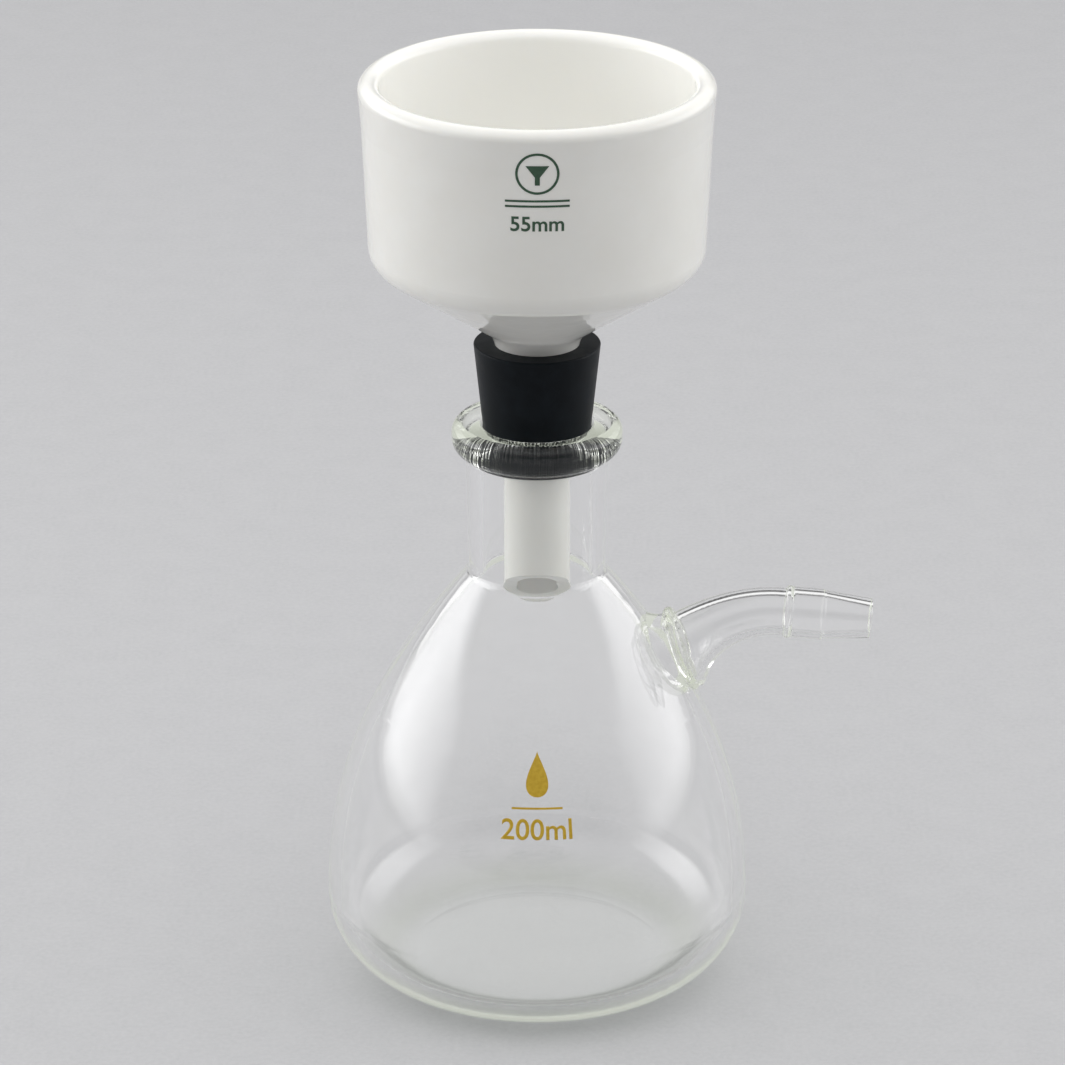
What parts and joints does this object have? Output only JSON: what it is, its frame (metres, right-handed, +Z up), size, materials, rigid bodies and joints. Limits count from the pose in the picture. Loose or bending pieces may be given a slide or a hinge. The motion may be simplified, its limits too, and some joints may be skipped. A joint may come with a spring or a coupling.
{
  "type": "buchner funnel",
  "caption": "Porcelain Buchner funnel with a perforated plate, seated by a drilled rubber stopper in a pear-shaped glass filter flask with a side arm and hose nozzle.",
  "frame": {"origin": "middle of the flask's flat foot, on the surface that it stands on", "axes": "+Z up along the common axis of flask, stopper and funnel; +X towards the side arm and its hose nozzle; the stem's scooped outlet faces -Y, the front"},
  "size_m": [0.1041, 0.0808, 0.1785],
  "materials": {
    "clear_glass": "gloss",
    "weld_glass": "gloss",
    "black_rubber": "matte",
    "white_porcelain": "gloss"
  },
  "bodies": {
    "flask": {"flask_body": "clear_glass", "flask_neck": "clear_glass", "side_arm": "clear_glass", "arm_weld": "weld_glass", "hose_nozzle": "clear_glass"},
    "stopper": {"rubber_stopper": "black_rubber"},
    "funnel": {"funnel_stem": "white_porcelain", "funnel_bowl": "white_porcelain", "perforated_plate": "white_porcelain"}
  },
  "joints": [
    {"name": "stopper_lift", "type": "slide", "parent": "flask", "child": "stopper", "axis": [0, 0, 1], "range_m": [0, 0.06]},
    {"name": "funnel_lift", "type": "slide", "parent": "stopper", "child": "funnel", "axis": [0, 0, 1], "range_m": [0, 0.06]}
  ]
}
